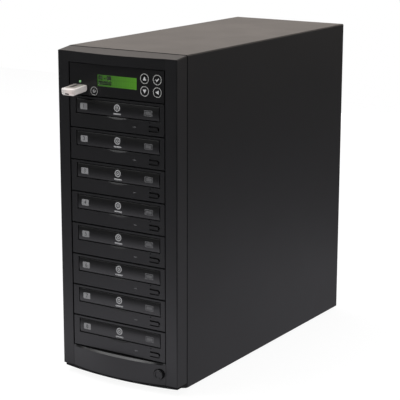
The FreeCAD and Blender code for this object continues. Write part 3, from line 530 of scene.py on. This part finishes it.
def on_front(mesh, place):
    # a flat print in mm becomes one that faces the front, its root just under the surface at this place
    depth = Vector((0, (INK_ROOT - INK) / 2 * MM, 0))
    upright = Matrix.Rotation(math.pi / 2, 4, "X")
    mesh.transform(Matrix.Translation(place + depth) @ upright @ Matrix.Scale(MM, 4))
    return mesh


def over_crown(mesh, door):
    # bends a flat print onto the crowned face of a tray door
    low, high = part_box(door)
    half = (high.z - low.z) / 2
    rise = DOOR_CROWN * MM
    radius = (half ** 2 + rise ** 2) / (2 * rise)
    shape = bmesh.new()
    shape.from_mesh(mesh)
    for strip in range(1, CROWN_STRIPS):
        everything = shape.verts[:] + shape.edges[:] + shape.faces[:]
        level = low.z + 2 * half * strip / CROWN_STRIPS
        bmesh.ops.bisect_plane(shape, geom=everything, plane_co=(0, 0, level), plane_no=(0, 0, 1))
    for vert in shape.verts:
        off = vert.co.z - low.z - half
        vert.co.y += radius - math.sqrt(radius ** 2 - off ** 2)
    shape.to_mesh(mesh)
    shape.free()
    return mesh


# Printing on the tray doors

def badge_outline():
    return moved(rounded(BADGE_WIDTH, BADGE_HEIGHT, BADGE_CORNER), BADGE_X, BADGE_Z)


def mark_outlines():
    rings = [moved(circle(diameter), 0, DISC_Z) for diameter in DISC_RINGS]
    return rings + [moved(rounded(BAR_WIDTH, BAR_HEIGHT, BAR_CORNER), 0, BAR_Z)]


def tile_outlines():
    insets = (0, TILE_FRAME, TILE_FRAME + TILE_LINE)
    return [moved(rounded(TILE_WIDTH - 2 * inset, TILE_HEIGHT - 2 * inset, TILE_CORNER), TILE_X, TILE_Z)
            for inset in insets]


def door_prints(n):
    door = f"tray_door_{n}"
    body = f"tray_{n}_body"
    face = front_middle(door)
    badge = over_crown(on_front(plate([badge_outline()]), face), door)
    piece(f"door_badge_{n}", badge, steel_ink, body)
    marks = over_crown(on_front(plate(mark_outlines()), face), door)
    piece(f"door_marks_{n}", marks, pale_ink, body)
    tile = over_crown(on_front(plate(tile_outlines()), face), door)
    piece(f"door_tile_{n}", tile, grey_ink, body)
    on_badge = face + Vector((BADGE_X * MM, -INK * MM / 2, BADGE_Z * MM))
    digit = over_crown(on_front(lettering(str(n), DIGIT_SIZE), on_badge), door)
    piece(f"door_digit_{n}", digit, black_ink_and_painted_shade, body)


for n in DRIVES:
    door_prints(n)


# Keys and power button

def arrow(size):
    # triangle pointing up
    half = size / 2
    foot = -half * ARROW_FOOT
    return [(0, half), (half, foot), (-half, foot)]


def tick(size):
    # short stroke down to the foot, long stroke up from it
    half = size / 2
    wide = size * TICK_STROKE
    top = half * TICK_TOP
    return [(-half, 0), (-half + wide, wide), (-wide, -half + TICK_NOTCH * wide), (half - wide, top),
            (half, top - wide), (-wide, -half)]


def round_arrow(size):
    # three quarters of a ring with an arrow head
    outer = size / 2
    inner = outer * RING_BORE
    sweep = [math.pi / 2 + RING_SWEEP * step / RING_STEPS for step in range(RING_STEPS + 1)]
    ring = [(outer * math.cos(angle), outer * math.sin(angle)) for angle in sweep]
    ring += [(inner * math.cos(angle), inner * math.sin(angle)) for angle in reversed(sweep)]
    between = (inner + outer) / 2
    side = outer * HEAD_SIDE
    head = [(between, outer * HEAD_LENGTH), (between + side, 0), (between - side, 0)]
    return [ring, head]


key_symbols = {
    "up_key": [arrow(SYMBOL_SIZE)],
    "enter_key": [tick(SYMBOL_SIZE)],
    "down_key": [turned(arrow(SYMBOL_SIZE), 2)],
    "back_key": [turned(arrow(SYMBOL_SIZE), 1)],
    "mode_key": round_arrow(MODE_SYMBOL_SIZE),
}


def key_print(name):
    face = front_middle(name)
    body = f"{name}_body"
    outer = breadth(name)
    inner = outer - 2 * (MODE_RING if name == "mode_key" else KEY_RING)
    ring = plate([circle(outer, LARGE_CIRCLE_POINTS), circle(inner, LARGE_CIRCLE_POINTS)])
    piece(f"{name}_ring", on_front(ring, face), silver_ink, body)
    symbol = plate(key_symbols[name])
    piece(f"{name}_symbol", on_front(symbol, face), white_ink, body)


for name in KEYS:
    key_print(name)


def button_rim():
    # raised rim moulded round the power button's face
    outer = breadth("power_button") - 2 * RIM_ROUNDING
    inner = outer - 2 * (RIM_WIDTH - 2 * RIM_ROUNDING)
    rim = plate([circle(outer, LARGE_CIRCLE_POINTS), circle(inner, LARGE_CIRCLE_POINTS)], RIM_ROUNDING)
    rim = on_front(rim, front_middle("power_button"))
    piece("power_button_rim", rim, black_abs, "power_button_body")


button_rim()


# Characters on the display

def display_lines():
    # two lines, one above and one below the middle
    low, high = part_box("display_module")
    left = low.x + CHARACTER_MARGIN * MM
    level = (low.z + high.z) / 2
    for line, words in enumerate(DISPLAY_LINES):
        place = Vector((left, low.y, level + (0.5 - line) * LINE_PITCH * MM))
        characters = on_front(lettering(words, CHARACTER_HEIGHT, "LEFT", CHARACTER_BOLD), place)
        piece(f"display_line_{line + 1}", characters, crystal, "case")


display_lines()


# USB stick

def stick_hang():
    # from a level stick with its root at the origin to one that hangs from its plug
    root = middle("usb_plug")
    root.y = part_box("usb_stick")[1].y
    return Matrix.Translation(root) @ Matrix.Rotation(math.radians(STICK_SAG), 4, "X")


def stick_levels():
    # how far the body is drawn in at each height, round its sole and then round its brow
    sweep = [math.pi / 2 * step / CORNER_STEPS for step in range(CORNER_STEPS + 1)]
    sole = [(STICK_SOLE * (1 - math.sin(angle)), STICK_BOTTOM + STICK_SOLE * (1 - math.cos(angle)))
            for angle in sweep]
    brow = [(STICK_BROW * (1 - math.cos(angle)), STICK_TOP - STICK_BROW * (1 - math.sin(angle)))
            for angle in sweep]
    return sole + brow


def stick_shell():
    # moulded body: rounded outlines stacked from its sole to its brow
    shape = bmesh.new()
    rings = []
    for inset, z in stick_levels():
        outline = rounded(STICK_WIDTH - 2 * inset, STICK_LENGTH - 2 * inset, STICK_CORNER - inset,
                          STICK_ROOT_CORNER * (1 - inset / STICK_CORNER))
        rings.append([shape.verts.new((x, y - STICK_LENGTH / 2, z)) for x, y in outline])
    for lower, upper in zip(rings, rings[1:]):
        for here in range(len(lower)):
            shape.faces.new((lower[here - 1], lower[here], upper[here], upper[here - 1]))
    shape.faces.new(reversed(rings[0]))
    shape.faces.new(rings[-1])
    mesh = bpy.data.meshes.new("shell")
    shape.to_mesh(mesh)
    shape.free()
    mesh.shade_smooth()
    mesh.transform(stick_hang() @ Matrix.Scale(MM, 4))
    shell = piece("stick_shell", mesh, white_abs, "usb_stick_body")
    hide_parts("usb_stick")


def on_stick(mesh, shift, from_root, lift):
    # a flat film in mm is laid on the stick's top, lifted where it lies on another film
    spot = Vector((shift, -from_root, STICK_TOP + (INK - INK_ROOT) / 2 + lift)) * MM
    mesh.transform(stick_hang() @ Matrix.Translation(spot) @ Matrix.Scale(MM, 4))
    return mesh


def stick_label():
    label = plate([rounded(LABEL_WIDTH, LABEL_LENGTH, LABEL_CORNER)])
    label = on_stick(label, LABEL_SHIFT, LABEL_FROM_ROOT + LABEL_LENGTH / 2, 0.0)
    piece("stick_label", label, label_film, "usb_stick_body")


def stick_strip():
    strip = plate([rounded(STRIP_WIDTH, STRIP_LENGTH, STRIP_CORNER)])
    strip = on_stick(strip, STRIP_SHIFT, STRIP_FROM_ROOT + STRIP_LENGTH / 2, INK / 2)
    piece("stick_strip", strip, dark_strip_grey, "usb_stick_body")


def stick_cord_slot():
    # black plate of painted shade where the cord slot opens, leaned onto the rounding under the tip
    slot = plate([rounded(LOOP_SLOT_WIDTH, LOOP_SLOT_HEIGHT, LOOP_SLOT_CORNER)])
    slot = on_front(slot, Vector((0, -STICK_SOLE * MM, 0)))
    bend_z = STICK_BOTTOM + STICK_SOLE
    bend = Matrix.Translation(Vector((0, STICK_SOLE - STICK_LENGTH, bend_z)) * MM)
    lean = Matrix.Rotation(math.asin((LOOP_SLOT_DROP + bend_z) / STICK_SOLE), 4, "X")
    slot.transform(stick_hang() @ bend @ lean)
    piece("stick_cord_slot", slot, black_ink_and_painted_shade, "usb_stick_body")


stick_shell()
stick_label()
stick_strip()
stick_cord_slot()


# Back of the case

def new_tree(name, inputs):
    # a node tree with named inputs for its sizes
    tree = bpy.data.node_groups.new(name, "GeometryNodeTree")
    tree.interface.new_socket("Carrier", in_out="INPUT", socket_type="NodeSocketGeometry")
    for label, kind in inputs.items():
        tree.interface.new_socket(label, in_out="INPUT", socket_type=kind)
    tree.interface.new_socket("Made", in_out="OUTPUT", socket_type="NodeSocketGeometry")
    return tree, add(tree, "NodeGroupInput").outputs


def finish_tree(tree, geometry, finish):
    whole = add(tree, "GeometryNodeRealizeInstances", {"Geometry": geometry})
    dressed = add(tree, "GeometryNodeSetMaterial", {"Geometry": whole.outputs[0], "Material": finish})
    add(tree, "NodeGroupOutput", {"Made": dressed.outputs[0]})


def screw_tree(finish):
    # a low head with a cross recess at each point, facing the back
    sizes = ("Head radius", "Head height", "Slot width", "Slot length", "Slot depth")
    tree, given = new_tree("screw heads", {size: "NodeSocketFloat" for size in sizes})
    radius = given["Head radius"]
    height = given["Head height"]
    half = add(tree, "ShaderNodeMath", {0: height, 1: 0.5}, operation="MULTIPLY").outputs[0]
    crown = add(tree, "ShaderNodeMath", {0: radius, 1: SCREW_CROWN}, operation="MULTIPLY")
    foot = add(tree, "GeometryNodeMeshCone",
               {"Vertices": SCREW_SIDES, "Radius Top": radius, "Radius Bottom": radius, "Depth": half})
    dome = add(tree, "GeometryNodeMeshCone",
               {"Vertices": SCREW_SIDES, "Radius Top": crown.outputs[0], "Radius Bottom": radius,
                "Depth": half})
    rise = add(tree, "ShaderNodeCombineXYZ", {"Z": half})
    dome = add(tree, "GeometryNodeTransform", {"Geometry": dome.outputs[0], "Translation": rise.outputs[0]})
    head = add(tree, "GeometryNodeMeshBoolean", {"Mesh 2": [foot.outputs[0], dome.outputs[0]]},
               operation="UNION")
    bottom = add(tree, "ShaderNodeMath", {0: height, 1: given["Slot depth"]}, operation="SUBTRACT")
    centre = add(tree, "ShaderNodeMath", {0: bottom.outputs[0], 1: half}, operation="ADD")
    lift = add(tree, "ShaderNodeCombineXYZ", {"Z": centre.outputs[0]})
    slots = []
    for across, along in (("Slot width", "Slot length"), ("Slot length", "Slot width")):
        size = add(tree, "ShaderNodeCombineXYZ", {"X": given[across], "Y": given[along], "Z": height})
        cube = add(tree, "GeometryNodeMeshCube", {"Size": size.outputs[0]})
        slot = add(tree, "GeometryNodeTransform",
                   {"Geometry": cube.outputs[0], "Translation": lift.outputs[0]})
        slots.append(slot.outputs[0])
    cut = add(tree, "GeometryNodeMeshBoolean", {"Mesh 1": head.outputs[0], "Mesh 2": slots},
              operation="DIFFERENCE")
    copies = add(tree, "GeometryNodeInstanceOnPoints",
                 {"Points": given["Carrier"], "Instance": cut.outputs[0], "Rotation": (-math.pi / 2, 0, 0)})
    finish_tree(tree, copies.outputs[0], finish)
    return tree


def screws(name, spots, tree):
    # heads on points of the back
    carrier = bpy.data.meshes.new("spots")
    carrier.from_pydata([Vector(spot) for spot in spots], [], [])
    sizes = {"Head radius": SCREW_RADIUS * MM, "Head height": SCREW_HEIGHT * MM,
             "Slot width": SLOT_WIDTH * MM, "Slot length": SLOT_LENGTH * MM, "Slot depth": SLOT_DEPTH * MM}
    piece(name, settled(carrier, tree, sizes), zinc, "case")


def back_screws():
    tree = screw_tree(zinc)
    cover_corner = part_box("cover")[1]
    side_x = cover_corner.x - COVER_SCREW_EDGE * MM
    spots = [(side * side_x, cover_corner.y, z * MM) for side in (-1, 1) for z in COVER_SCREW_LEVELS]
    screws("cover_screws", spots, tree)
    panel_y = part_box("back_panel")[1].y
    supply_low, supply_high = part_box("supply_case")
    edge = SUPPLY_SCREW_EDGE * MM
    spots = [(side * (supply_high.x - edge), panel_y, z) for side in (-1, 1)
             for z in (supply_low.z + edge, supply_high.z - edge)]
    screws("supply_screws", spots, tree)
    fan = middle("fan_frame")
    guard_y = panel_y + 2 * GUARD_WIRE * MM
    reach = FAN_HOLE_PITCH / 2 * MM
    spots = [(fan.x + side * reach, guard_y, fan.z + level * reach) for side in (-1, 1) for level in (-1, 1)]
    screws("fan_screws", spots, tree)


def guard_tree(finish):
    # rings and two crossing bars of one wire, with an eye at each end of a bar
    tree, given = new_tree("wire guard", {"Rings": "NodeSocketInt", "Ring pitch": "NodeSocketFloat",
                                          "Wire": "NodeSocketFloat", "Reach": "NodeSocketFloat",
                                          "Eye": "NodeSocketFloat", "Place": "NodeSocketVector"})
    turn = add(tree, "GeometryNodeCurvePrimitiveCircle",
               {"Resolution": GUARD_RING_POINTS, "Radius": 1.0}).outputs[0]
    index = add(tree, "GeometryNodeInputIndex").outputs[0]
    order = add(tree, "ShaderNodeMath", {0: index, 1: 1.0}, operation="ADD")
    size = add(tree, "ShaderNodeMath", {0: order.outputs[0], 1: given["Ring pitch"]}, operation="MULTIPLY")
    centres = add(tree, "GeometryNodePoints", {"Count": given["Rings"]})
    rings = add(tree, "GeometryNodeInstanceOnPoints",
                {"Points": centres.outputs[0], "Instance": turn, "Scale": size.outputs[0]})
    start = add(tree, "ShaderNodeMath", {0: given["Eye"], 1: given["Reach"]}, operation="SUBTRACT")
    start = add(tree, "ShaderNodeCombineXYZ", {"X": start.outputs[0]})
    end = add(tree, "ShaderNodeMath", {0: given["Reach"], 1: given["Eye"]}, operation="SUBTRACT")
    end = add(tree, "ShaderNodeCombineXYZ", {"X": end.outputs[0]})
    line = add(tree, "GeometryNodeCurvePrimitiveLine", {"Start": start.outputs[0], "End": end.outputs[0]})
    lean = add(tree, "ShaderNodeMath", {0: index, 1: math.pi / 2, 2: math.pi / 4}, operation="MULTIPLY_ADD")
    angle = add(tree, "ShaderNodeCombineXYZ", {"Z": lean.outputs[0]})
    pair = add(tree, "GeometryNodePoints", {"Count": 2})
    bars = add(tree, "GeometryNodeInstanceOnPoints",
               {"Points": pair.outputs[0], "Instance": line.outputs[0], "Rotation": angle.outputs[0]})
    corners = add(tree, "GeometryNodeMeshCircle", {"Vertices": 4, "Radius": given["Reach"]})
    corners = add(tree, "GeometryNodeTransform",
                  {"Geometry": corners.outputs[0], "Rotation": (0, 0, math.pi / 4)})
    eyes = add(tree, "GeometryNodeInstanceOnPoints",
               {"Points": corners.outputs[0], "Instance": turn, "Scale": given["Eye"]})
    wires = add(tree, "GeometryNodeJoinGeometry", {0: [rings.outputs[0], bars.outputs[0], eyes.outputs[0]]})
    lines = add(tree, "GeometryNodeRealizeInstances", {"Geometry": wires.outputs[0]})
    section = add(tree, "GeometryNodeCurvePrimitiveCircle",
                  {"Resolution": GUARD_WIRE_SIDES, "Radius": given["Wire"]})
    tubes = add(tree, "GeometryNodeCurveToMesh",
                {"Curve": lines.outputs[0], "Profile Curve": section.outputs[0], "Fill Caps": True})
    upright = add(tree, "GeometryNodeTransform",
                  {"Geometry": tubes.outputs[0], "Translation": given["Place"],
                   "Rotation": (math.pi / 2, 0, 0)})
    finish_tree(tree, upright.outputs[0], finish)
    return tree


def wire_guard():
    place = middle("fan_guard")
    place.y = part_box("back_panel")[1].y + GUARD_WIRE * MM
    sizes = {"Rings": GUARD_RINGS, "Ring pitch": GUARD_RING_PITCH * MM, "Wire": GUARD_WIRE * MM,
             "Reach": FAN_HOLE_PITCH / math.sqrt(2) * MM, "Eye": GUARD_EYE * MM, "Place": place}
    mesh = settled(bpy.data.meshes.new("carrier"), guard_tree(nickel), sizes)
    guard = piece("wire_guard", mesh, nickel, "case")
    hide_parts("fan_guard")


back_screws()
wire_guard()


# Studio

def studio_world():
    # white to the camera; mirrored rays see a backdrop over the horizon behind the object, and the rest is a
    # dim room that is darkest beside the camera
    world = bpy.data.worlds.new("studio")
    bpy.context.scene.world = world
    world.use_nodes = True
    tree = world.node_tree
    tree.nodes.clear()
    path = add(tree, "ShaderNodeLightPath").outputs
    facing = add(tree, "ShaderNodeTexCoord").outputs["Generated"]
    split = add(tree, "ShaderNodeSeparateXYZ", {0: facing})
    behind = add(tree, "ShaderNodeMapRange",
                 {"Value": split.outputs["Y"], "From Min": BACKDROP_TURN[0], "From Max": BACKDROP_TURN[1]})
    above = add(tree, "ShaderNodeMapRange",
                {"Value": split.outputs["Z"], "From Min": BACKDROP_FOOT[0], "From Max": BACKDROP_FOOT[1]})
    upper = add(tree, "ShaderNodeMapRange",
                {"Value": split.outputs["Z"], "From Min": BACKDROP_HEAD[0], "From Max": BACKDROP_HEAD[1],
                 "To Min": 1.0, "To Max": BACKDROP_HEAD_LEVEL})
    backdrop = add(tree, "ShaderNodeMath", {0: behind.outputs[0], 1: above.outputs[0]}, operation="MULTIPLY")
    backdrop = add(tree, "ShaderNodeMath", {0: backdrop.outputs[0], 1: upper.outputs[0]},
                   operation="MULTIPLY")
    mirrored = add(tree, "ShaderNodeMath", {0: path["Is Glossy Ray"], 1: backdrop.outputs[0]},
                   operation="MULTIPLY")
    beside = add(tree, "ShaderNodeVectorMath", {0: facing, 1: DARK_SIDE}, operation="DOT_PRODUCT")
    level = add(tree, "ShaderNodeMapRange",
                {"Value": beside.outputs["Value"], "From Min": ROOM_TURN[0], "From Max": ROOM_TURN[1],
                 "To Min": ROOM_LEVELS[0], "To Max": ROOM_LEVELS[1]})
    room = add(tree, "ShaderNodeBackground", {"Color": srgb("#ffffff"), "Strength": level.outputs[0]})
    paper = add(tree, "ShaderNodeBackground", {"Color": srgb("#fff2e8"), "Strength": 1.0})
    white = add(tree, "ShaderNodeBackground", {"Color": srgb("#ffffff"), "Strength": 1.0})
    around = add(tree, "ShaderNodeMixShader",
                 {0: mirrored.outputs[0], 1: room.outputs[0], 2: paper.outputs[0]})
    seen = add(tree, "ShaderNodeMath", {0: path["Is Camera Ray"], 1: path["Is Transmission Ray"]},
               operation="MAXIMUM")
    mix = add(tree, "ShaderNodeMixShader", {0: seen.outputs[0], 1: around.outputs[0], 2: white.outputs[0]})
    add(tree, "ShaderNodeOutputWorld", {0: mix.outputs[0]})


def floor_paper():
    # white sheet that keeps a faint shadow; mirrored rays see a pool of light on it that fades with
    # distance, towards the back and towards the dark side of the room
    made, tree, _ = surface("white paper")
    tree.nodes.clear()
    path = add(tree, "ShaderNodeLightPath").outputs
    place = add(tree, "ShaderNodeTexCoord").outputs["Object"]
    away = add(tree, "ShaderNodeVectorMath", {0: place, 1: POOL_PLACE}, operation="DISTANCE")
    pool = add(tree, "ShaderNodeMath", {0: POOL_RADIUS, 1: away.outputs["Value"]}, operation="DIVIDE",
               use_clamp=True)
    beside = add(tree, "ShaderNodeVectorMath", {0: place, 1: DARK_SIDE}, operation="DOT_PRODUCT")
    dim = add(tree, "ShaderNodeMapRange",
              {"Value": beside.outputs["Value"], "From Min": POOL_SIDE[0], "From Max": POOL_SIDE[1],
               "To Min": 1.0, "To Max": POOL_SIDE_LEVEL})
    ahead = add(tree, "ShaderNodeSeparateXYZ", {0: place})
    most = add(tree, "ShaderNodeMapRange",
               {"Value": ahead.outputs["Y"], "From Min": POOL_BACK[0], "From Max": POOL_BACK[1],
                "To Min": 1.0, "To Max": POOL_BACK_LEVEL})
    level = add(tree, "ShaderNodeMath", {0: pool.outputs[0], 1: most.outputs[0]}, operation="MINIMUM")
    level = add(tree, "ShaderNodeMath", {0: level.outputs[0], 1: dim.outputs[0]}, operation="MULTIPLY")
    paper = add(tree, "ShaderNodeBsdfDiffuse", {"Color": srgb("#f4f4f4")})
    glow = add(tree, "ShaderNodeEmission", {"Color": srgb("#ffffff"), "Strength": FLOOR_GLOW})
    mirrored = add(tree, "ShaderNodeEmission", {"Color": srgb("#f9f7ff"), "Strength": level.outputs[0]})
    share = add(tree, "ShaderNodeMath", {0: path["Is Camera Ray"], 1: FLOOR_GLOW_SHARE},
                operation="MULTIPLY")
    mix = add(tree, "ShaderNodeMixShader", {0: share.outputs[0], 1: paper.outputs[0], 2: glow.outputs[0]})
    mix = add(tree, "ShaderNodeMixShader",
              {0: path["Is Glossy Ray"], 1: mix.outputs[0], 2: mirrored.outputs[0]})
    add(tree, "ShaderNodeOutputMaterial", {0: mix.outputs[0]})
    return made


def floor():
    left, right = FLOOR_SIDES
    front, back = FLOOR_ENDS
    corners = [(left, front, 0), (right, front, 0), (right, back, 0), (left, back, 0)]
    sheet = bpy.data.meshes.new("floor")
    sheet.from_pydata(corners, [], [(0, 1, 2, 3)])
    sheet.materials.append(floor_paper())
    ground = bpy.data.objects.new("floor", sheet)
    bpy.context.scene.collection.objects.link(ground)


def softbox(name, place, aim, size, power):
    lamp = bpy.data.lights.new(name, "AREA")
    lamp.shape = "SQUARE"
    lamp.size = size
    lamp.energy = power
    holder = bpy.data.objects.new(name, lamp)
    holder.location = place
    holder.rotation_euler = (Vector(aim) - Vector(place)).to_track_quat("-Z", "Y").to_euler()
    bpy.context.scene.collection.objects.link(holder)


def camera():
    turn = math.radians(CAMERA_TURN)
    rise = math.radians(CAMERA_RISE)
    roll = math.radians(CAMERA_ROLL)
    back = Vector((math.sin(turn) * math.cos(rise), -math.cos(turn) * math.cos(rise), math.sin(rise)))
    level = Vector((math.cos(turn), math.sin(turn), 0))
    upright = back.cross(level)
    right = level * math.cos(roll) + upright * math.sin(roll)
    up = back.cross(right)
    lens = bpy.data.cameras.new("camera")
    lens.lens = LENS_LENGTH
    lens.sensor_width = SENSOR_WIDTH
    lens.clip_start = CAMERA_NEAREST
    holder = bpy.data.objects.new("camera", lens)
    axes = Matrix((right, up, back)).transposed().to_4x4()
    holder.matrix_world = Matrix.Translation(CAMERA_PLACE) @ axes
    bpy.context.scene.collection.objects.link(holder)
    bpy.context.scene.camera = holder


studio_world()
floor()
for name, setting in SOFTBOXES.items():
    softbox(name, **setting)
camera()
bpy.context.scene.view_settings.view_transform = "Standard"
